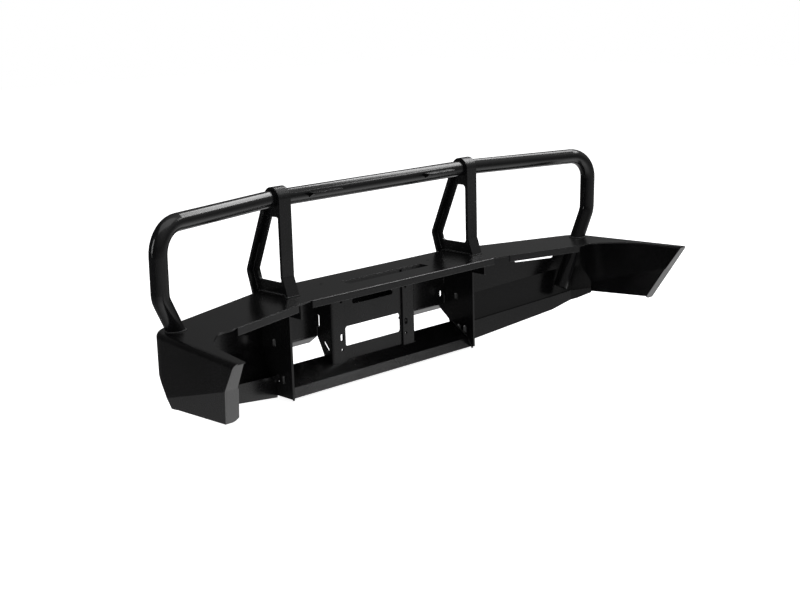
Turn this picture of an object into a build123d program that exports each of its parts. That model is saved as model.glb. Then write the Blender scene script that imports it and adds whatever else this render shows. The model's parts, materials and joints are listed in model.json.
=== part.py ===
from build123d import *
from math import acos, asin, atan, atan2, cos, degrees, hypot, radians, sin, tan
import os

os.makedirs("parts", exist_ok=True)

# frame: +X along the bar, +Y to the front of the vehicle, +Z up, top of the pan at z = 0

# sheet and plate stock
sheet = 4.0                # pan, skins, lips and end returns
cradle_plate = 6.0         # winch cradle
chassis_plate = 8.0        # chassis plates
web_plate = 8.0            # web inside each upright
beam_plate = 5.0           # lower crossmember and rails
bend = 15.0                # outside radius of the pan to skin bend

# hoop tube
tube_od = 50.8
tube_wall = 3.0
tube_y = -94.0             # axis of the middle run
tube_z = 293.0
tube_break_x = 436.0       # the ends sweep back from here
tube_corner = (917.0, -221.0)
tube_kink = (917.0, -216.0)
tube_kink_z = 96.0         # the legs lean inward below this
tube_end = (788.0, -200.0, -172.0)
tube_break_r = 60.0
tube_corner_r = 80.0
tube_kink_r = 60.0

# plan of the bar
centre_half = 408.0        # half width of the straight centre
front_y = 12.0             # outer face of the centre front skin
sweep_angle = 18.55        # of the wing front, degrees
side_front = (940.0, -320.0)
side_rear = (975.0, -606.0)
corner_r = 90.0
rear_y = -228.0            # rear edge of the pan between the chassis plates
lip_half = 401.0
lip_height = 22.0
side_lip_start = (465.0, -241.0)
side_lip_end = (746.0, -317.0)
arch_start = (768.0, -325.0)
arch_knee = (815.0, -326.0)
arch_mid = (901.0, -411.0)
arch_end = (939.0, -606.0)
arch_radii = (60.0, 200.0)

# top pan cut-outs
access_slot = (350.0, 44.0)
access_y = -123.0
drain_x = 236.0
drain_y = -79.0
drain_d = 9.0

# wing front: upper panel, crease and chin
crease_z = -187.0          # at the chassis plate
crease_rise = 0.145        # the crease climbs outboard
chin_run = 56.0            # the chin falls back this far
chin_drop = 147.0          # over this drop
chin_bottom = ((405.0, -334.0), (780.0, -259.0), (875.0, -228.0), (922.0, -204.0))
side_bottom = ((-240.0, -204.0), (-497.0, -190.0))
corner_cut = ((922.0, -240.0, -204.0), (875.0, -177.0, -204.0), (911.0, -174.0, -118.0))
signal_x = 752.0
signal_z = -71.5
signal_slot = (155.0, 17.0)
split_x = 846.0            # wing front ends and wing skin starts

# wing side: the lower face leans in under a fold, the end is cut forward
fold_front = (929.0, -233.0, -175.0)
fold_rear = (968.5, -553.0, -82.0)
foot_rear = (931.0, -497.0, -190.0)
return_width = 40.0
return_tip_x = 943.0       # its inner edge starts here, under the pan
return_foot_r = 26.0

# lower rail on each wing
rail_top_z = -264.0
rail_top_rise = 0.145
rail_gap = 0.5             # between the rail and the bottom edge of the chin
rail_turn_x = 858.0        # it turns with the wing corner here
rail_end = (913.0, -237.0)

# centre front skin
flare_top_z = -192.0
flare_run = 22.0
nose_opening_half = 180.0
nose_opening_z = -118.0
flare_gap_half = 200.0     # the foot of the flare is cut back from the cradle to here
bay_hole_x = 384.0
bay_hole_z = -154.5
bay_hole = (21.0, 9.0)

# winch cradle
cradle_half = 186.0        # outer face of each side wall
cradle_back = -64.0        # rear face of the posts
post_width = 57.0
post_bend = 10.0
cradle_foot_z = -276.0
plate_half = 133.0
window_half = 123.0
window_top = -163.0
window_bottom = -229.0
window_r = 9.0
fairlead_slot = (180.0, 18.0)
fairlead_slot_z = -85.0
post_hole_x = 143.0
post_hole_z = (-77.0, -235.0)
post_hole_d = 8.5
post_slot_z = -194.0
post_slot = (24.0, 13.5)
wall_slot = (40.0, 10.0)
wall_slot_y = 0.5
wall_slot_z = -140.0
wall_slant = (36.0, 10.0)
wall_slant_at = (-34.0, -219.0)
wall_slant_angle = 49.0

# chassis plates
chassis_x = 405.0
chassis_rear_y = -129.0
chassis_bottom_z = -326.0
chassis_ear = (-184.0, -64.0)    # the plate runs on rearward under the pan, this far and this deep
chin_meet_z = -244.0       # the plate leaves the flare and meets the chin
chassis_slot = (28.0, 14.0)
chassis_slots_at = ((-50.0, -160.0), (-62.0, -271.0), (-90.0, -271.0))

# lower crossmember
beam_front = (-23.0, -252.0)
beam_crease = (-103.0, -299.0)
beam_bottom = (-122.0, -325.0)
beam_bend = 10.0

# uprights
upright_x = chassis_x      # each stands over a chassis plate
strap_width = 45.0
strap_thick = 10.0
rear_kink_z = 57.0         # strap centre line from here on
rear_foot_y = -144.7
front_kink = (40.2, 60.7)
front_foot_y = 21.3
strap_bend = 16.0
window_margin = 19.0
web_window_bottom = 35.0
web_window_top = 235.0
web_window_r = 12.0

# lamp tabs on the hoop
tab_x = 248.0
tab_length = 120.0
tab_reach = 28.0           # beyond the back of the tube
tab_rise = 8.0             # top of the tab over the tube axis
tab_thick = 4.0
tab_gusset = 20.0
tab_corner_r = 6.0
tab_hole = 8.5
tab_hole_in = 16.0

reach = 900.0              # construction solids run this far
side_lean = (side_rear[0] - side_front[0]) / (side_front[1] - side_rear[1])


def front_line(x):
    return front_y - (abs(x) - centre_half) * tan(radians(sweep_angle))


def crease_at(x):
    return crease_z + crease_rise * (x - chassis_x)


def chin_bottom_at(x):
    for a, b in zip(chin_bottom[:-1], chin_bottom[1:]):
        if x <= b[0]:
            return a[1] + (b[1] - a[1]) * (x - a[0]) / (b[0] - a[0])
    return chin_bottom[-1][1]


def outline(inset):
    """Front of the plan on the right: centre front, break, wing corner, side run on to the rear."""
    a = radians(sweep_angle)
    b = atan(side_lean)
    d1 = (cos(a), -sin(a))
    d2 = (sin(b), -cos(b))
    q1 = (centre_half - inset * tan(a / 2), front_y - inset)
    q2 = (side_rear[0] - inset * cos(b), side_rear[1] - inset * sin(b))
    det = d2[0] * d1[1] - d1[0] * d2[1]
    t = (d2[0] * (q2[1] - q1[1]) - d2[1] * (q2[0] - q1[0])) / det
    c = (q1[0] + t * d1[0], q1[1] + t * d1[1])
    s = (-reach - q2[1]) / d2[1]
    return [(0, front_y - inset), q1, c, (q2[0] + s * d2[0], -reach)]


def prism(plane, points, amount):
    with BuildPart() as solid:
        with BuildSketch(plane):
            with BuildLine():
                Polyline(*points, points[0])
            make_face()
        extrude(amount=amount)
    return solid.part


def side_prism(points, x_from, x_to):
    """Outline in (y, z) between two stations along the bar."""
    return prism(Plane.YZ.offset(x_from), points, x_to - x_from)


def front_prism(points, y_from, y_to):
    """Outline in (x, z) between two depths."""
    return prism(Plane.XZ.offset(-y_to), points, y_to - y_from)


def plan_prism(points, z_from, z_to):
    """Outline in (x, y) between two heights."""
    return prism(Plane.XY.offset(z_from), points, z_to - z_from)


def plan_solid(inset, z, amount):
    """Right half of the plan with its rounded wing corner, extruded from height z."""
    p = outline(inset)
    with BuildPart() as solid:
        with BuildSketch(Plane.XY.offset(z)) as plan:
            with BuildLine():
                Polyline(*p, (0, -reach), p[0])
            make_face()
            spot = Vector(p[2][0], p[2][1], z)
            fillet(plan.vertices().sort_by_distance(spot)[0], corner_r - inset)
        extrude(amount=amount)
    return solid.part


def beyond(plane):
    """Everything on the far side of a plane, to cut away."""
    with BuildPart() as block:
        with BuildSketch(plane):
            Rectangle(5000, 5000)
        extrude(amount=1500)
    return block.part


def plane_through(a, b, c, toward, shift=0.0):
    n = (Vector(*b) - Vector(*a)).cross(Vector(*c) - Vector(*a)).normalized()
    if n.dot(Vector(*toward)) < 0:
        n = n * -1
    return Plane(origin=Vector(*a) + n * shift, z_dir=n)


def nose_volume(inset, top_bend):
    """Right half of the solid inside the skin, with the chin and the leaning side cut off."""
    with BuildPart() as volume:
        add(plan_solid(inset, -inset, -500))
        top = volume.edges().group_by(Axis.Z)[-1]
        fillet([e for e in top if e.center().Y > 1 - reach and e.center().X > 1], top_bend)
        chin_top = (chassis_x, front_line(chassis_x), crease_at(chassis_x))
        chin_far = (870.0, front_line(870.0), crease_at(870.0))
        chin_low = (chassis_x, chin_top[1] - chin_run, chin_top[2] - chin_drop)
        chin = plane_through(chin_top, chin_far, chin_low, (0, 1, 0), -inset)
        side = plane_through(fold_front, fold_rear, foot_rear, (1, 0, 0), -inset)
        add(beyond(chin), mode=Mode.SUBTRACT)
        add(beyond(side), mode=Mode.SUBTRACT)
        corner = plane_through(*corner_cut, (1, 1, 0), -inset)
        add(beyond(corner), mode=Mode.SUBTRACT)
    return volume.part


def slot_cutter(plane, length, width, turn=0.0, depth=60.0):
    """Round-ended slot through whatever lies on the plane."""
    with BuildPart() as cutter:
        with BuildSketch(plane):
            SlotOverall(length, width, rotation=turn)
        extrude(amount=depth / 2, both=True)
    return cutter.part


pieces = {}


def keep(part, name):
    pieces[name] = part


def keep_pair(part, name):
    """The right-hand piece as drawn and its mirror image on the left."""
    keep(part, name + "_right")
    keep(mirror(part, about=Plane.YZ), name + "_left")


outer_volume = nose_volume(0.0, bend)
inner_volume = nose_volume(sheet, bend - sheet)


# ---- hoop tube ----

def bent_run(points, radii):
    """Straight runs joined by tangent arcs, as one wire."""
    edges = []
    last = Vector(*points[0])
    for i in range(1, len(points) - 1):
        here = Vector(*points[i])
        into = (here - Vector(*points[i - 1])).normalized()
        out = (Vector(*points[i + 1]) - here).normalized()
        setback = radii[i - 1] * tan(acos(into.dot(out)) / 2)
        a = here - into * setback
        b = here + out * setback
        edges.append(Edge.make_line(last, a))
        edges.append(Edge.make_tangent_arc(a, into, b))
        last = b
    edges.append(Edge.make_line(last, Vector(*points[-1])))
    return Wire(edges)


def hoop_solid(diameter):
    half = [(tube_break_x, tube_y, tube_z), (tube_corner[0], tube_corner[1], tube_z)]
    half += [(tube_kink[0], tube_kink[1], tube_kink_z), tube_end]
    points = [(-x, y, z) for x, y, z in reversed(half)] + half
    radii = [tube_kink_r, tube_corner_r, tube_break_r, tube_break_r, tube_corner_r, tube_kink_r]
    path = bent_run(points, radii)
    with BuildPart() as rod:
        with BuildSketch(Plane(origin=path @ 0, z_dir=path % 0)):
            Circle(diameter / 2)
        sweep(path=path, transition=Transition.RIGHT)
    return rod.part


hoop_outer = hoop_solid(tube_od)
hoop_bore = hoop_solid(tube_od - 2 * tube_wall)
with BuildPart() as hoop_tube:
    add(hoop_outer)
    add(hoop_bore, mode=Mode.SUBTRACT)
keep(hoop_tube.part, "hoop_tube")


# ---- top pan ----

rear_edge = [arch_end, arch_mid, arch_knee, arch_start, side_lip_end, side_lip_start]
rear_edge += [(lip_half, rear_y), (0, rear_y)]
pan_line = outline(bend)
side_at_end = (pan_line[3][0] - side_lean * (arch_end[1] + reach), arch_end[1])
with BuildPart() as half_pan:
    with BuildSketch() as pan_plan:
        with BuildLine():
            Polyline(*pan_line[:3], side_at_end, *rear_edge, pan_line[0])
        make_face()
        spot = Vector(pan_line[2][0], pan_line[2][1], 0)
        fillet(pan_plan.vertices().sort_by_distance(spot)[0], corner_r - bend)
        for knee, radius in zip((arch_knee, arch_mid), arch_radii):
            fillet(pan_plan.vertices().sort_by_distance(Vector(knee[0], knee[1], 0))[0], radius)
    extrude(amount=-sheet)
with BuildPart() as top_pan:
    add(half_pan.part)
    mirror(about=Plane.YZ)
    with BuildSketch():
        with Locations((0, access_y)):
            RectangleRounded(access_slot[0], access_slot[1], 6)
        with Locations((drain_x, drain_y), (-drain_x, drain_y)):
            Circle(drain_d / 2)
    extrude(amount=-2 * sheet, both=True, mode=Mode.SUBTRACT)
    add(hoop_outer, mode=Mode.SUBTRACT)
keep(top_pan.part, "top_pan")


# ---- rear lips folded down from the pan ----

def lip(start, end):
    """Strip standing under the rear edge, its inner face on the line from start to end."""
    run = hypot(end[0] - start[0], end[1] - start[1])
    along = (end[0] - start[0], end[1] - start[1], 0)
    with BuildPart() as strip:
        with BuildSketch(Plane(origin=(start[0], start[1], 0), x_dir=along, z_dir=(0, 0, 1))):
            with Locations((run / 2, -sheet / 2)):
                Rectangle(run, sheet)
        extrude(amount=-lip_height)
        rear = strip.edges().group_by(Axis.Z)[-1].sort_by(Axis.Y)
        fillet(rear[0], sheet - 0.5)
    return strip.part


keep(lip((-lip_half, rear_y), (lip_half, rear_y)), "rear_lip_centre")
keep_pair(lip(side_lip_start, side_lip_end), "rear_lip")


# ---- wing front and wing skin, cut from one bent shell ----

wing_start = chassis_x + chassis_plate / 2
end_line = [(side_rear[1], 10), (side_rear[1], 0), (fold_rear[1], fold_rear[2])]
end_line += [(foot_rear[1], foot_rear[2]), (foot_rear[1] + 100, -500)]
low_line = [(0, chin_bottom[0][1]), *chin_bottom, (1200, chin_bottom[-1][1])]
side_fall = (side_bottom[0][1] - side_bottom[1][1]) / (side_bottom[0][0] - side_bottom[1][0])
side_low = [side_bottom[0], (-1000, side_bottom[0][1] - side_fall * (side_bottom[0][0] + 1000))]
side_low += [(-1000, -600), (side_bottom[0][0], -600)]
with BuildPart() as below_wing:
    add(front_prism([*low_line, (1200, -600), (0, -600)], -1000, 200))
    add(side_prism(side_low, 0, 1200))

with BuildPart() as wing_shell:
    add(outer_volume)
    add(inner_volume, mode=Mode.SUBTRACT)
    add(plan_solid(bend, 1, -sheet - 1), mode=Mode.SUBTRACT)
    add(side_prism([*end_line, (-1000, -500), (-1000, 10)], -10, 1200), mode=Mode.SUBTRACT)
    add(below_wing.part, mode=Mode.SUBTRACT)
    add(hoop_outer, mode=Mode.SUBTRACT)

signal_plane = Plane(origin=(signal_x, front_line(signal_x), signal_z), x_dir=(1, 0, 0), z_dir=(0, 1, 0))
with BuildPart() as wing_front:
    add(wing_shell.part)
    add(plan_prism([(wing_start, -1000), (wing_start, 100), (split_x, 100), (split_x, -1000)], -600, 10),
        mode=Mode.INTERSECT)
    add(slot_cutter(signal_plane, *signal_slot), mode=Mode.SUBTRACT)
keep_pair(wing_front.part, "wing_front")

with BuildPart() as wing_skin:
    add(wing_shell.part)
    add(plan_prism([(split_x, -1000), (split_x, 100), (1200, 100), (1200, -1000)], -600, 10),
        mode=Mode.INTERSECT)
keep_pair(wing_skin.part, "wing_skin")


# ---- end return standing square to the wing skin ----

return_line = [(y + sheet / cos(radians(30)), z) for y, z in end_line]
with BuildPart() as wing_return:
    add(side_prism([*end_line, *reversed(return_line)], 700, 1200))
    add(inner_volume, mode=Mode.INTERSECT)
    add(inner_volume.moved(Location((-return_width, 0, 0))), mode=Mode.SUBTRACT)
    tip = [(return_tip_x, 0), (fold_rear[0] - return_width, fold_rear[2])]
    add(front_prism([*tip, (700, fold_rear[2]), (700, 0)], -1000, -400), mode=Mode.SUBTRACT)
    add(below_wing.part, mode=Mode.SUBTRACT)
    foot = wing_return.vertices().group_by(Axis.Z)[0].sort_by(Axis.X)[0]
    with BuildSketch(Plane.XZ.offset(-foot.Y + 40)):
        with Locations((foot.X, foot.Z)):
            Rectangle(return_foot_r, return_foot_r, align=(Align.MIN, Align.MIN))
            Rectangle(60, return_foot_r, align=(Align.MAX, Align.MIN))
        with Locations((foot.X + return_foot_r, foot.Z + return_foot_r)):
            Circle(return_foot_r, mode=Mode.SUBTRACT)
    extrude(amount=80, both=True, mode=Mode.SUBTRACT)
keep_pair(wing_return.part, "wing_return")


# ---- lower rail returned up behind the chin ----

def chin_inner_y(x, z):
    return front_line(x) - (crease_at(x) - z) * chin_run / chin_drop - sheet


rail_stations = [wing_start, chin_bottom[1][0], rail_turn_x]
rail_front = [(x, chin_inner_y(x, chin_bottom_at(x)) - rail_gap) for x in rail_stations] + [rail_end]
rail_back = [(x, y - beam_plate) for x, y in reversed(rail_front)]
rail_top = [(x, rail_top_z + rail_top_rise * (x - chassis_x)) for x in (rail_end[0], wing_start)]
rail_low = [(x, chin_bottom_at(x)) for x in (*rail_stations, chin_bottom[2][0], rail_end[0])]
with BuildPart() as lower_rail:
    add(plan_prism([*rail_front, *rail_back], -500, -100))
    add(front_prism([*rail_low, *rail_top], -400, 100), mode=Mode.INTERSECT)
    add(wing_shell.part, mode=Mode.SUBTRACT)
keep_pair(lower_rail.part, "lower_rail")


# ---- centre front skin ----

mid = sheet / 2
flare_top = (front_y - mid, flare_top_z)
skin_line = [(front_y - bend, -mid), (front_y - mid, -mid), flare_top]
skin_line += [(flare_top[0] + flare_run, flare_top[1] - flare_run)]
with BuildPart() as centre_skin:
    with BuildSketch(Plane.YZ):
        with BuildLine():
            FilletPolyline(*skin_line, radius=bend - mid - 0.1)
        trace(line_width=sheet)
    extrude(amount=wing_start, both=True)
    opening = [(-nose_opening_half, nose_opening_z), (nose_opening_half, nose_opening_z)]
    flare_cut = [(nose_opening_half, flare_top_z), (cradle_half, flare_top_z)]
    flare_cut += [(flare_gap_half, flare_top_z - flare_run), (flare_gap_half, -400)]
    opening += [*flare_cut, *[(-x, z) for x, z in reversed(flare_cut)]]
    add(front_prism(opening, -20, 100), mode=Mode.SUBTRACT)
    for side in (-1, 1):
        hole_at = Plane(origin=(side * bay_hole_x, front_y, bay_hole_z), x_dir=(0, 0, 1), z_dir=(0, 1, 0))
        add(slot_cutter(hole_at, *bay_hole, depth=30), mode=Mode.SUBTRACT)
keep(centre_skin.part, "centre_skin")


# ---- chassis plates ----

skin_back = front_y - sheet
relief = bend - 1
flare_back_z = flare_top_z - mid * tan(radians(22.5))
flare_depth = flare_run - 2
side_line = [(skin_back - relief, -sheet), (skin_back, -sheet - relief), (skin_back, flare_back_z)]
side_line += [(skin_back + flare_depth, flare_back_z - flare_depth)]
chin_edge = [(chin_inner_y(wing_start, z) + mid, z) for z in (chin_meet_z, chassis_bottom_z)]
chassis_rear = [(chassis_rear_y, chassis_bottom_z), (chassis_rear_y, chassis_ear[1])]
chassis_rear += [chassis_ear, (chassis_ear[0], -sheet)]
with BuildPart() as chassis:
    add(side_prism([*side_line, *chin_edge, *chassis_rear], chassis_x - chassis_plate / 2, wing_start))
    for y, z in chassis_slots_at:
        slot_at = Plane(origin=(chassis_x, y, z), x_dir=(0, 0, 1), z_dir=(1, 0, 0))
        add(slot_cutter(slot_at, *chassis_slot), mode=Mode.SUBTRACT)
keep_pair(chassis.part, "chassis_plate")


# ---- winch cradle: side walls with folded rear posts ----

wall_inner = cradle_half - cradle_plate
post_front = cradle_back + cradle_plate
wall_plan = [(wall_inner, skin_back + 60), (cradle_half, skin_back + 60), (cradle_half, cradle_back)]
wall_plan += [(cradle_half - post_width, cradle_back), (cradle_half - post_width, post_front)]
wall_plan += [(wall_inner, post_front)]
with BuildPart() as cradle_wall:
    with BuildSketch() as wall_section:
        with BuildLine():
            Polyline(*wall_plan, wall_plan[0])
        make_face()
        corners = wall_section.vertices()
        outer_corner = corners.sort_by_distance(Vector(cradle_half, cradle_back, 0))[0]
        inner_corner = corners.sort_by_distance(Vector(wall_inner, post_front, 0))[0]
        fillet(outer_corner, post_bend)
        fillet(inner_corner, post_bend - cradle_plate)
    extrude(amount=-500)
    wall_side = [*side_line[:3], beam_front, (cradle_back, cradle_foot_z), (cradle_back, -sheet)]
    add(side_prism(wall_side, 0, 400), mode=Mode.INTERSECT)
    drop = Plane(origin=(cradle_half, wall_slot_y, wall_slot_z), x_dir=(0, 0, 1), z_dir=(1, 0, 0))
    add(slot_cutter(drop, *wall_slot), mode=Mode.SUBTRACT)
    slant = Plane(origin=(cradle_half, *wall_slant_at), x_dir=(0, 1, 0), z_dir=(1, 0, 0))
    add(slot_cutter(slant, *wall_slant, turn=wall_slant_angle), mode=Mode.SUBTRACT)
    post_slot_at = Plane(origin=(post_hole_x, cradle_back, post_slot_z), x_dir=(0, 0, 1), z_dir=(0, -1, 0))
    add(slot_cutter(post_slot_at, *post_slot), mode=Mode.SUBTRACT)
    for z in post_hole_z:
        hole_at = Plane(origin=(post_hole_x, cradle_back, z), x_dir=(0, 0, 1), z_dir=(0, -1, 0))
        with Locations(hole_at):
            Cylinder(post_hole_d / 2, 60, mode=Mode.SUBTRACT)
keep_pair(cradle_wall.part, "cradle_wall")


# ---- winch cradle: rear plate with the drum window ----

plate_mid = cradle_back + cradle_plate + cradle_plate / 2
with BuildPart() as cradle_back_plate:
    with BuildSketch(Plane.XZ.offset(-plate_mid)) as plate_face:
        with Locations((0, (-sheet + cradle_foot_z) / 2)):
            Rectangle(2 * plate_half, -sheet - cradle_foot_z)
        with Locations((0, (window_top + window_bottom) / 2)):
            RectangleRounded(2 * window_half, window_top - window_bottom, window_r, mode=Mode.SUBTRACT)
        with Locations((0, fairlead_slot_z)):
            SlotOverall(*fairlead_slot, mode=Mode.SUBTRACT)
        for side in (-1, 1):
            with Locations(*[(side * post_hole_x, z) for z in post_hole_z]):
                Circle(post_hole_d / 2, mode=Mode.SUBTRACT)
    extrude(amount=cradle_plate / 2, both=True)
    above = [(-300, 10), (200, 10), (200, -600), (-300, -600)]
    beam_slope = (beam_crease[1] - beam_front[1]) / (beam_crease[0] - beam_front[0])
    under = [(y, beam_front[1] + beam_slope * (y - beam_front[0])) for y in (-200, 100)]
    add(side_prism([*under, (100, -600), (-200, -600)], -400, 400), mode=Mode.SUBTRACT)
keep(cradle_back_plate.part, "cradle_plate")


# ---- lower crossmember ----

def shifted(points, amount):
    """The same open line moved square to itself, to its left along the run."""
    moved = []
    for i, p in enumerate(points):
        normals = []
        for a, b in zip(points[max(i - 1, 0):i + 1], points[max(i, 1):i + 2]):
            run = hypot(b[0] - a[0], b[1] - a[1])
            if run:
                normals.append(((a[1] - b[1]) / run, (b[0] - a[0]) / run))
        nx = sum(n[0] for n in normals) / len(normals)
        ny = sum(n[1] for n in normals) / len(normals)
        scale = amount / (nx * nx + ny * ny)
        moved.append((p[0] + nx * scale, p[1] + ny * scale))
    return moved


beam_line = [beam_front, beam_crease, beam_bottom]
with BuildPart() as crossmember:
    add(side_prism([*beam_line, *reversed(shifted(beam_line, beam_plate))],
                   -chassis_x + chassis_plate / 2, chassis_x - chassis_plate / 2))
keep(crossmember.part, "crossmember")


# ---- uprights: bent flat bar round a web ----

half_thick = strap_thick / 2
wrap = tube_od / 2 + half_thick
to_kink = (front_kink[0] - tube_y, front_kink[1] - tube_z)
leave = atan2(to_kink[1], to_kink[0]) + acos(wrap / hypot(*to_kink))
leave_at = (tube_y + wrap * cos(leave), tube_z + wrap * sin(leave))
rear_run_y = tube_y - wrap


def carry_on(a, b, z):
    """Point at height z on the line from a through b."""
    return (a[0] + (b[0] - a[0]) * (z - a[1]) / (b[1] - a[1]), z)


rear_kink = (rear_run_y, rear_kink_z)
rear_foot = (rear_foot_y, 0)
front_foot = (front_foot_y, 0)
with BuildPart() as strap:
    with BuildSketch(Plane.YZ):
        with BuildLine():
            FilletPolyline(carry_on(rear_kink, rear_foot, -25), rear_kink, (rear_run_y, tube_z),
                           radius=strap_bend)
            CenterArc((tube_y, tube_z), wrap, 180, degrees(leave) - 180)
            FilletPolyline(leave_at, front_kink, carry_on(front_kink, front_foot, -90),
                           radius=strap_bend)
        trace(line_width=strap_thick)
    extrude(amount=strap_width / 2, both=True)
    behind_skin = [(-300, 0), (front_y, 0), (front_y, -200), (-300, -200)]
    add(side_prism(behind_skin, -100, 100), mode=Mode.SUBTRACT)
    add(hoop_outer.moved(Location((-upright_x, 0, 0))), mode=Mode.SUBTRACT)
strap_at = Location((upright_x, 0, 0))
keep_pair(strap.part.moved(strap_at), "upright_strap")

frame_line = [rear_foot, rear_kink, (rear_run_y, tube_z), leave_at, front_kink, front_foot]
with BuildPart() as web:
    add(side_prism(frame_line, -web_plate / 2, web_plate / 2))
    add(strap.part, mode=Mode.SUBTRACT)
    add(hoop_outer.moved(Location((-upright_x, 0, 0))), mode=Mode.SUBTRACT)
    with BuildSketch(Plane.YZ) as window:
        inner_line = shifted([(rear_run_y, 0), *frame_line[2:]], -half_thick - window_margin)
        with BuildLine():
            Polyline(*inner_line, inner_line[0])
        make_face()
        with Locations((0, (web_window_top + web_window_bottom) / 2)):
            Rectangle(600, web_window_top - web_window_bottom, mode=Mode.INTERSECT)
        fillet(window.vertices(), web_window_r)
    extrude(amount=web_plate, both=True, mode=Mode.SUBTRACT)
    add(side_prism([(-300, tube_z - 18), (300, tube_z - 18), (300, 500), (-300, 500)], -50, 50),
        mode=Mode.SUBTRACT)
keep_pair(web.part.moved(strap_at), "upright_web")


# ---- lamp tabs behind the hoop, each with one gusset ----

def lamp_tab(x):
    tab_z = tube_z + tab_rise
    tab_back = tube_y - tube_od / 2 - tab_reach
    with BuildPart() as tab:
        with BuildSketch(Plane.XY.offset(tab_z)) as tab_plan:
            with Locations((x, tab_back)):
                Rectangle(tab_length, tab_reach + tube_od / 4, align=(Align.CENTER, Align.MIN))
            fillet(tab_plan.vertices().group_by(Axis.Y)[0], tab_corner_r)
            with Locations((x, tab_back + tab_hole_in)):
                Circle(tab_hole / 2, mode=Mode.SUBTRACT)
        extrude(amount=-tab_thick)
        gusset_x = x - tab_length / 2 + tab_corner_r
        gusset = [(tab_back + 4, tab_z - tab_thick), (tube_y, tab_z - tab_thick), (tube_y, tube_z - tab_gusset)]
        add(side_prism(gusset, gusset_x, gusset_x + tab_thick))
        add(hoop_outer, mode=Mode.SUBTRACT)
    return tab.part


keep(lamp_tab(-tab_x), "lamp_tab_left")
keep(lamp_tab(tab_x), "lamp_tab_right")


# ---- origin at the middle of the footprint, level with the lowest edge ----

boxes = [piece.bounding_box() for piece in pieces.values()]
middle_y = (min(b.min.Y for b in boxes) + max(b.max.Y for b in boxes)) / 2
lowest_z = min(b.min.Z for b in boxes)
for name, piece in pieces.items():
    placed = piece.moved(Location((0, -middle_y, -lowest_z)))
    placed.label = name
    export_step(placed, "parts/" + name + ".step")
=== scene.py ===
import json
import math
import bpy
from mathutils import Matrix, Vector


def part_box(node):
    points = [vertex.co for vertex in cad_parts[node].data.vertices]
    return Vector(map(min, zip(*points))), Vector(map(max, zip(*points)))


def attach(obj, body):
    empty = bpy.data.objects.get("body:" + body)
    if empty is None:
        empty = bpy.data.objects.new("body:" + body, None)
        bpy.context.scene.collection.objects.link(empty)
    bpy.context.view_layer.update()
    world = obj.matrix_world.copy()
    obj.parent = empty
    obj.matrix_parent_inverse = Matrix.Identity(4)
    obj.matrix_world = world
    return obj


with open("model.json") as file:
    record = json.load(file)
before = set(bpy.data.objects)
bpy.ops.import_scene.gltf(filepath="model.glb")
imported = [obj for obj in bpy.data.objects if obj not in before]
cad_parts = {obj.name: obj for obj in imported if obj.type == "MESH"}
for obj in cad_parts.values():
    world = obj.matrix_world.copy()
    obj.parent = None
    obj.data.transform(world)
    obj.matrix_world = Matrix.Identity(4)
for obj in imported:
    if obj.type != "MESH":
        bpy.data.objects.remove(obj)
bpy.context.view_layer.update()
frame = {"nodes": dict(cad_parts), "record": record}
scene = bpy.context.scene
print("frame loaded:", len(frame["nodes"]), "nodes")

# the drawing's zero is the front edge of the pan, at its top face
panDepth = 0.606              # metres from that edge back to the wing ends
panLow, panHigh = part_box("top_pan")
drawingZero = Vector((0.0, panLow.y + panDepth, panHigh.z))


def at(x, y, z):
    # millimetres on the drawing to metres in the frame
    return Vector((x, y, z)) * 0.001 + drawingZero


def wire(tree, fromNode, fromSocket, toNode, toSocket):
    # sockets by name, or by number where a node has several of one name
    tree.links.new(fromNode.outputs[fromSocket], toNode.inputs[toSocket])


def setRange(node, source, result):
    node.inputs["From Min"].default_value, node.inputs["From Max"].default_value = source
    node.inputs["To Min"].default_value, node.inputs["To Max"].default_value = result


# the camera stands behind the bar, to its left
view = {
    "place": (-2842.5, -3146.3, 890.4),   # mm from the drawing's zero
    "turn": 0.7651,                       # radians to the right of straight ahead
    "down": 0.2318,
    "lean": -0.027,
    "lens": 59.52,
    "sensor": 36.0,
    "farClip": 60.0,
}
cameraData = bpy.data.cameras.new("viewCamera")
cameraData.lens = view["lens"]
cameraData.sensor_width = view["sensor"]
cameraData.clip_end = view["farClip"]
camera = bpy.data.objects.new("viewCamera", cameraData)
scene.collection.objects.link(camera)
camera.matrix_world = (Matrix.Translation(at(*view["place"]))
                       @ Matrix.Rotation(-view["turn"], 4, "Z")
                       @ Matrix.Rotation(math.pi / 2 - view["down"], 4, "X")
                       @ Matrix.Rotation(view["lean"], 4, "Z"))
scene.camera = camera
print("camera set")

# a white studio: a graded room, soft panels and a paper floor
studio = {
    # where a direction lies from straight down (0) to straight up (1), and how bright the room is there
    "room": ((0.0, 0.7), (0.2, 0.6), (0.36, 0.17), (0.48, 0.07), (0.56, 0.07), (0.66, 0.11), (0.8, 0.18),
             (1.0, 0.4)),
    "brightSide": (0.66, -0.75),          # the room is brighter toward here, and darker the other way
    "sideSpan": (-0.6, 0.9),
    "sideTone": (0.3, 2.4),
    "floorTone": (0.92, 0.92, 0.925, 1.0),
    "floorRough": 0.9,
    "floorGlow": 0.92,
    "floorReach": 14.0,
    "floorHeight": -0.001,
    # place, target, size and power of each panel, in metres and watts
    "panels": {
        "overheadPanel": ((-0.4, -0.6, 3.6), (0.0, 0.0, 0.4), (4.6, 2.4), 30.0),
        "rightPanel": ((3.4, 0.9, 3.8), (0.0, 0.0, 0.5), (3.4, 1.0), 60.0),
        "leftPanel": ((-4.6, 1.6, 1.8), (0.0, 0.0, 0.4), (0.7, 2.4), 30.0),
        "edgePanel": ((3.5, -1.3, 3.4), (0.0, -0.1, 0.3), (2.2, 0.35), 16.0),
    },
}
white = (1.0, 1.0, 1.0, 1.0)
scene.view_settings.view_transform = "Standard"


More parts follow.
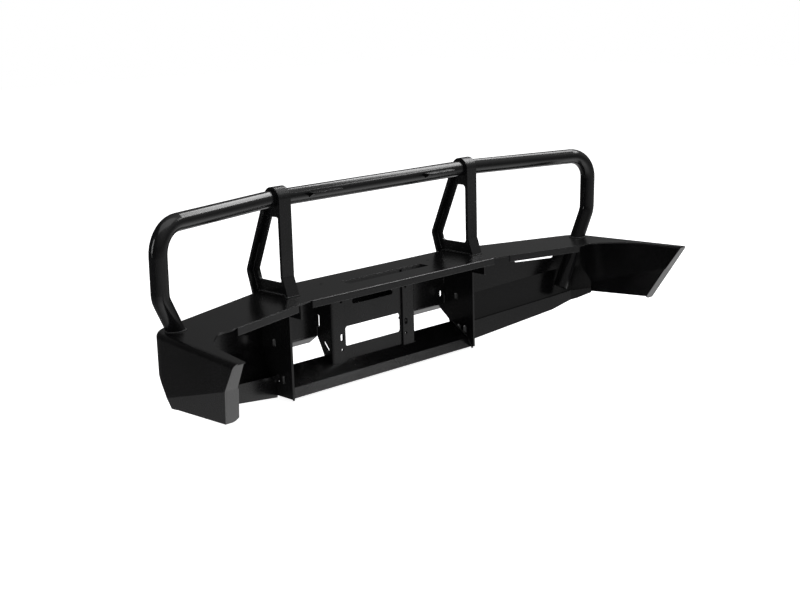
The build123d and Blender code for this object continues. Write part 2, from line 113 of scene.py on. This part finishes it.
def roomWorld():
    # white to look at, graded like a studio where it lights and reflects
    world = bpy.data.worlds.new("studioAir")
    world.use_nodes = True
    tree = world.node_tree
    nodes = tree.nodes
    seen = nodes["Background"]
    seen.inputs["Color"].default_value = white
    lit = nodes.new("ShaderNodeBackground")
    place = nodes.new("ShaderNodeTexCoord")
    split = nodes.new("ShaderNodeSeparateXYZ")
    lift = nodes.new("ShaderNodeMapRange")
    setRange(lift, (-1.0, 1.0), (0.0, 1.0))      # a direction's height, down to up
    ramp = nodes.new("ShaderNodeValToRGB")
    stops = ramp.color_ramp.elements
    while len(stops) < len(studio["room"]):
        stops.new(0.5)
    for stop, (spot, tone) in zip(stops, studio["room"]):
        stop.position = spot
        stop.color = (tone, tone, tone, 1.0)
    flat = nodes.new("ShaderNodeVectorMath")
    flat.operation = "DOT_PRODUCT"
    flat.inputs[1].default_value = (*studio["brightSide"], 0.0)
    sideways = nodes.new("ShaderNodeMapRange")
    setRange(sideways, studio["sideSpan"], studio["sideTone"])
    path = nodes.new("ShaderNodeLightPath")
    mix = nodes.new("ShaderNodeMixShader")
    wire(tree, place, "Generated", flat, 0)
    wire(tree, flat, "Value", sideways, "Value")
    wire(tree, sideways, "Result", lit, "Strength")
    wire(tree, place, "Generated", split, "Vector")
    wire(tree, split, "Z", lift, "Value")
    wire(tree, lift, "Result", ramp, "Fac")
    wire(tree, ramp, "Color", lit, "Color")
    wire(tree, path, "Is Camera Ray", mix, "Fac")
    wire(tree, lit, "Background", mix, 1)
    wire(tree, seen, "Background", mix, 2)
    wire(tree, mix, "Shader", nodes["World Output"], "Surface")
    return world


def softPanel(name, place, target, size, power):
    data = bpy.data.lights.new(name, "AREA")
    data.shape = "RECTANGLE"
    data.size, data.size_y = size
    data.energy = power
    lamp = bpy.data.objects.new(name, data)
    scene.collection.objects.link(lamp)
    aim = (Vector(target) - Vector(place)).to_track_quat("-Z", "Y")
    lamp.matrix_world = Matrix.Translation(Vector(place)) @ aim.to_matrix().to_4x4()


def paperFloor():
    mesh = bpy.data.meshes.new("floor")
    reach, height = studio["floorReach"], studio["floorHeight"]
    corners = [(-reach, -reach), (reach, -reach), (reach, reach), (-reach, reach)]
    mesh.from_pydata([(x, y, height) for x, y in corners], [], [(0, 1, 2, 3)])
    floor = bpy.data.objects.new("floor", mesh)
    scene.collection.objects.link(floor)
    material = bpy.data.materials.new("floorPaper")
    material.use_nodes = True
    shader = material.node_tree.nodes["Principled BSDF"]
    shader.inputs["Base Color"].default_value = studio["floorTone"]
    shader.inputs["Roughness"].default_value = studio["floorRough"]
    shader.inputs["Emission Color"].default_value = white
    shader.inputs["Emission Strength"].default_value = studio["floorGlow"]
    mesh.materials.append(material)
    floor.visible_glossy = False


scene.world = roomWorld()
for panelName, (place, target, size, power) in studio["panels"].items():
    softPanel(panelName, place, target, size, power)
paperFloor()
print("studio ready")

# the powder coat that every finish starts from; a span is where a noise field starts and ends its effect
coat = {
    "ior": 1.5, "coat": 0.12, "coatRough": 0.1,
    "dark": (0.002, 0.002, 0.0022), "light": (0.0042, 0.0042, 0.0046),
    "driftScale": 3.5, "driftDetail": 3.0, "driftSpan": (0.35, 0.7),
    "dust": 0.12, "dustTone": (0.09, 0.09, 0.095),
    "speckScale": 260.0, "speckDetail": 2.0, "speckSpan": (0.62, 0.74),
    "rough": (0.17, 0.25), "cloudScale": 6.0, "cloudDetail": 4.0, "cloudSpan": (0.3, 0.7),
    "edge": 0.0018, "edgeSamples": 4,         # the radius that softens every edge, in metres
    "peelScale": 900.0, "peelDetail": 2.0, "peel": 0.22, "peelHeight": 0.0004,
    "waveScale": 9.0, "waveDetail": 1.0, "wave": 0.05, "waveHeight": 0.004,
}


def noiseField(tree, place, look, kind):
    noise = tree.nodes.new("ShaderNodeTexNoise")
    noise.inputs["Scale"].default_value = look[kind + "Scale"]
    noise.inputs["Detail"].default_value = look[kind + "Detail"]
    wire(tree, place, "Object", noise, "Vector")
    return noise


def toneRamp(tree, noise, span, tones):
    ramp = tree.nodes.new("ShaderNodeValToRGB")
    for stop, spot, tone in zip(ramp.color_ramp.elements, span, tones):
        stop.position = spot
        stop.color = (*tone, 1.0)
    wire(tree, noise, "Fac", ramp, "Fac")
    return ramp


def surfaceBump(tree, noise, under, strength, height):
    bump = tree.nodes.new("ShaderNodeBump")
    bump.inputs["Strength"].default_value = strength
    bump.inputs["Distance"].default_value = height
    wire(tree, noise, "Fac", bump, "Height")
    wire(tree, under, "Normal", bump, "Normal")
    return bump


def powderCoat(name, look):
    # black powder coat: slow drift of tone, dust specks, clouds of gloss, soft edges, orange peel
    material = bpy.data.materials.new(name)
    material.use_nodes = True
    tree = material.node_tree
    nodes = tree.nodes
    shader = nodes["Principled BSDF"]
    shader.inputs["IOR"].default_value = look["ior"]
    shader.inputs["Coat Weight"].default_value = look["coat"]
    shader.inputs["Coat Roughness"].default_value = look["coatRough"]
    place = nodes.new("ShaderNodeTexCoord")

    tone = toneRamp(tree, noiseField(tree, place, look, "drift"), look["driftSpan"],
                    (look["dark"], look["light"]))
    dust = toneRamp(tree, noiseField(tree, place, look, "speck"), look["speckSpan"],
                    ((0.0,) * 3, (look["dust"],) * 3))
    blend = nodes.new("ShaderNodeMix")
    blend.data_type = "RGBA"
    blend.inputs[7].default_value = (*look["dustTone"], 1.0)     # its second colour; 6 is its first
    wire(tree, dust, "Color", blend, 0)
    wire(tree, tone, "Color", blend, 6)
    wire(tree, blend, 2, shader, "Base Color")

    rough = nodes.new("ShaderNodeMapRange")
    setRange(rough, look["cloudSpan"], look["rough"])
    wire(tree, noiseField(tree, place, look, "cloud"), "Fac", rough, "Value")
    wire(tree, rough, "Result", shader, "Roughness")

    softEdge = nodes.new("ShaderNodeBevel")
    softEdge.samples = look["edgeSamples"]
    softEdge.inputs["Radius"].default_value = look["edge"]
    peel = noiseField(tree, place, look, "peel")
    wave = noiseField(tree, place, look, "wave")
    slowBump = surfaceBump(tree, wave, softEdge, look["wave"], look["waveHeight"])
    fineBump = surfaceBump(tree, peel, slowBump, look["peel"], look["peelHeight"])
    wire(tree, fineBump, "Normal", shader, "Normal")
    return material


finishes = {
    "skin_coat": powderCoat("skinCoat", coat),
    "plate_coat": powderCoat("plateCoat", {**coat, "rough": (0.20, 0.30), "dark": (0.0018, 0.0018, 0.002),
                                           "light": (0.004, 0.004, 0.0043), "waveScale": 12.0}),
    "tube_coat": powderCoat("tubeCoat", {**coat, "rough": (0.12, 0.17), "wave": 0.02, "edge": 0.0008,
                                         "driftScale": 6.0, "coat": 0.0}),
    "strap_coat": powderCoat("strapCoat", {**coat, "rough": (0.22, 0.3), "edge": 0.0022,
                                           "driftScale": 8.0, "dust": 0.2}),
}
weldCoat = powderCoat("weldCoat", {**coat, "rough": (0.22, 0.34), "peel": 0.4, "peelScale": 500.0,
                                   "light": (0.012, 0.012, 0.013), "dust": 0.3, "edge": 0.0004})
for entry in frame["record"]["subparts"]:
    node = frame["nodes"][entry["node"]]
    node.data.materials.clear()
    node.data.materials.append(finishes[entry["material_slot"]])
print("finishes made")

# weld beads, laid by geometry nodes along drawn paths
weld = {
    "ripple": 0.0021,     # pitch of the ripples, in metres
    "leg": 0.0034,        # half width of a bead
    "along": 0.0021,      # half length of one ripple
    "jitter": 0.16,
    "seed": 7,
    "dropSides": 8, "dropRings": 5,
}


def weldTree():
    # round drops strung along a path, each a little larger or smaller than the next
    tree = bpy.data.node_groups.new("weldBead", "GeometryNodeTree")
    tree.interface.new_socket("Path", in_out="INPUT", socket_type="NodeSocketGeometry")
    for label in ("Ripple", "Leg", "Along", "Jitter"):
        tree.interface.new_socket(label, in_out="INPUT", socket_type="NodeSocketFloat")
    tree.interface.new_socket("Seed", in_out="INPUT", socket_type="NodeSocketInt")
    tree.interface.new_socket("Finish", in_out="INPUT", socket_type="NodeSocketMaterial")
    tree.interface.new_socket("Bead", in_out="OUTPUT", socket_type="NodeSocketGeometry")
    nodes = tree.nodes
    given = nodes.new("NodeGroupInput")
    result = nodes.new("NodeGroupOutput")
    curve = nodes.new("GeometryNodeMeshToCurve")
    steps = nodes.new("GeometryNodeResampleCurve")
    steps.mode = "LENGTH"
    tangent = nodes.new("GeometryNodeInputTangent")
    turn = nodes.new("FunctionNodeAlignRotationToVector")
    turn.axis = "Z"
    drop = nodes.new("GeometryNodeMeshUVSphere")
    drop.inputs["Segments"].default_value = weld["dropSides"]
    drop.inputs["Rings"].default_value = weld["dropRings"]
    drop.inputs["Radius"].default_value = 1.0
    size = nodes.new("ShaderNodeCombineXYZ")
    vary = nodes.new("FunctionNodeRandomValue")
    vary.data_type = "FLOAT"
    low = nodes.new("ShaderNodeMath")
    low.operation = "SUBTRACT"
    low.inputs[0].default_value = 1.0
    high = nodes.new("ShaderNodeMath")
    high.operation = "ADD"
    high.inputs[0].default_value = 1.0
    grow = nodes.new("ShaderNodeVectorMath")
    grow.operation = "SCALE"
    lay = nodes.new("GeometryNodeInstanceOnPoints")
    real = nodes.new("GeometryNodeRealizeInstances")
    smooth = nodes.new("GeometryNodeSetShadeSmooth")
    paint = nodes.new("GeometryNodeSetMaterial")
    wire(tree, given, "Path", curve, "Mesh")
    wire(tree, curve, "Curve", steps, "Curve")
    wire(tree, given, "Ripple", steps, "Length")
    wire(tree, tangent, "Tangent", turn, "Vector")
    wire(tree, given, "Leg", size, "X")
    wire(tree, given, "Leg", size, "Y")
    wire(tree, given, "Along", size, "Z")
    wire(tree, given, "Jitter", low, 1)
    wire(tree, given, "Jitter", high, 1)
    wire(tree, low, 0, vary, 2)
    wire(tree, high, 0, vary, 3)
    wire(tree, given, "Seed", vary, "Seed")
    wire(tree, size, 0, grow, 0)
    wire(tree, vary, 1, grow, "Scale")
    wire(tree, steps, "Curve", lay, "Points")
    wire(tree, drop, "Mesh", lay, "Instance")
    wire(tree, turn, "Rotation", lay, "Rotation")
    wire(tree, grow, 0, lay, "Scale")
    wire(tree, lay, "Instances", real, "Geometry")
    wire(tree, real, "Geometry", smooth, "Geometry")
    wire(tree, smooth, "Geometry", paint, "Geometry")
    wire(tree, given, "Finish", paint, "Material")
    wire(tree, paint, "Geometry", result, "Bead")
    return tree


beadTree = weldTree()


def layWelds(name, rightRuns):
    # each run is a list of points on the drawing, laid on the right and mirrored on the left
    points = []
    edges = []
    leftRuns = [[(-x, y, z) for x, y, z in run] for run in rightRuns]
    for run in rightRuns + leftRuns:
        for k, spot in enumerate(run):
            points.append(at(*spot))
            if k:
                edges.append((len(points) - 2, len(points) - 1))
    lines = bpy.data.meshes.new(name + "Lines")
    lines.from_pydata(points, edges, [])
    source = bpy.data.objects.new(name + "Lines", lines)
    scene.collection.objects.link(source)
    modifier = source.modifiers.new("bead", "NODES")
    modifier.node_group = beadTree
    values = {"Ripple": weld["ripple"], "Leg": weld["leg"], "Along": weld["along"],
              "Jitter": weld["jitter"], "Seed": weld["seed"], "Finish": weldCoat}
    for socket in beadTree.interface.items_tree:
        if socket.in_out == "INPUT" and socket.name in values:
            modifier[socket.identifier] = values[socket.name]
    bpy.context.view_layer.update()
    ready = source.evaluated_get(bpy.context.evaluated_depsgraph_get())
    mesh = bpy.data.meshes.new_from_object(ready)
    mesh.name = name
    piece = bpy.data.objects.new(name, mesh)
    scene.collection.objects.link(piece)
    bpy.data.objects.remove(source)
    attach(piece, "root")
    print(name, "faces", len(mesh.polygons))


# all the sizes below are millimetres on the drawing
upright = {
    "x": 405.0, "strapHalf": 22.5, "webHalf": 4.0,
    "rearFoot": (-150.2, -139.3),   # the two faces of the rear foot, on the pan
    "webFoot": (-137.3, -4.0),      # where the web stands on the pan
    "rearLeg": ((-137.4, 6.0), (-119.4, 57.0), (-119.4, 130.0)),    # y and z along the rear leg
    "frontFoot": (16.1, 4.0),
    "frontKink": (34.9, 60.4),      # inner face of the front leg at its bend
    "frontRise": (-0.399, 0.917),   # direction of the front leg above it
    "frontRun": 95.0,
    "skinY": 12.0,
    "toe": (-14.0, -47.0),          # top and bottom of the toe on the front skin
}


def uprightRuns():
    u = upright
    left, right = u["x"] - u["strapHalf"], u["x"] + u["strapHalf"]
    rearOut, rearIn = u["rearFoot"]
    toeTop, toeLow = u["toe"]
    kinkY, kinkZ = u["frontKink"]
    frontEnd = (kinkY + u["frontRise"][0] * u["frontRun"], kinkZ + u["frontRise"][1] * u["frontRun"])
    runs = [[(left, rearIn, 0), (left, rearOut, 0), (right, rearOut, 0), (right, rearIn, 0)]]
    for side in (-1, 1):
        face = u["x"] + side * u["webHalf"]
        edge = u["x"] + side * u["strapHalf"]
        runs.append([(face, y, 0) for y in u["webFoot"]])
        runs.append([(edge, rearIn, 0), (face, rearIn, 0)])
        runs.append([(face, *spot) for spot in (u["frontFoot"], u["frontKink"], frontEnd)])
        runs.append([(face, *spot) for spot in u["rearLeg"]])
        runs.append([(edge, u["skinY"], toeTop), (edge, u["skinY"], toeLow)])
    runs.append([(left, u["skinY"], toeLow), (right, u["skinY"], toeLow)])
    return runs


layWelds("weld_uprights", uprightRuns())

hoop = {
    "foot": (870.8, -210.3, 0.0),      # where the tube's axis goes through the pan
    "lean": (-129.0, 16.0, -268.0),    # its direction there
    "r": 25.4, "steps": 40,
}


def hoopFootRun():
    axis = Vector(hoop["lean"]).normalized()
    first = axis.cross(Vector((0, 1, 0))).normalized()
    second = axis.cross(first)
    run = []
    for k in range(hoop["steps"] + 1):
        turn = 2 * math.pi * k / hoop["steps"]
        spot = (first * math.cos(turn) + second * math.sin(turn)) * hoop["r"]
        spot = spot - axis * (spot.z / axis.z) + Vector(hoop["foot"])
        run.append(tuple(spot))
    return run


layWelds("weld_hoop_feet", [hoopFootRun()])

inner = {
    "plateX": (401.0, 409.0),                          # the two faces of a chassis plate
    "wallX": 186.0, "postX": 132.0,
    "skinY": 8.0, "panZ": -4.0,
    "plateToSkin": ((-95, -118), (-157, -190)),        # top and bottom of each stitch
    "wallToSkin": ((-40, -66), (-159, -188)),
    "plateToPan": ((-120, -92), (-62, -34)),           # rear and front of each stitch
    "beamTop": ((-26, -249), (-100, -293)),            # y and z on the plate's inner face
    "beamUnder": ((-31, -262), (-106, -306), (-124, -330)),
    "railEnd": ((-50, -268), (-50, -330)),
    "cradleFoot": (-60, -276),
}


def innerRuns():
    w = inner
    inFace, outFace = w["plateX"]
    runs = [[(inFace, w["skinY"], z) for z in stitch] for stitch in w["plateToSkin"]]
    runs += [[(w["wallX"], w["skinY"], z) for z in stitch] for stitch in w["wallToSkin"]]
    for stitch in w["plateToPan"]:
        runs += [[(face, y, w["panZ"]) for y in stitch] for face in (inFace, outFace)]
    runs.append([(inFace, *spot) for spot in w["beamTop"]])
    runs.append([(inFace, *spot) for spot in w["beamUnder"]])
    runs.append([(outFace, *spot) for spot in w["railEnd"]])
    runs.append([(x, *w["cradleFoot"]) for x in (w["wallX"], w["postX"])])
    return runs


layWelds("weld_inner", innerRuns())
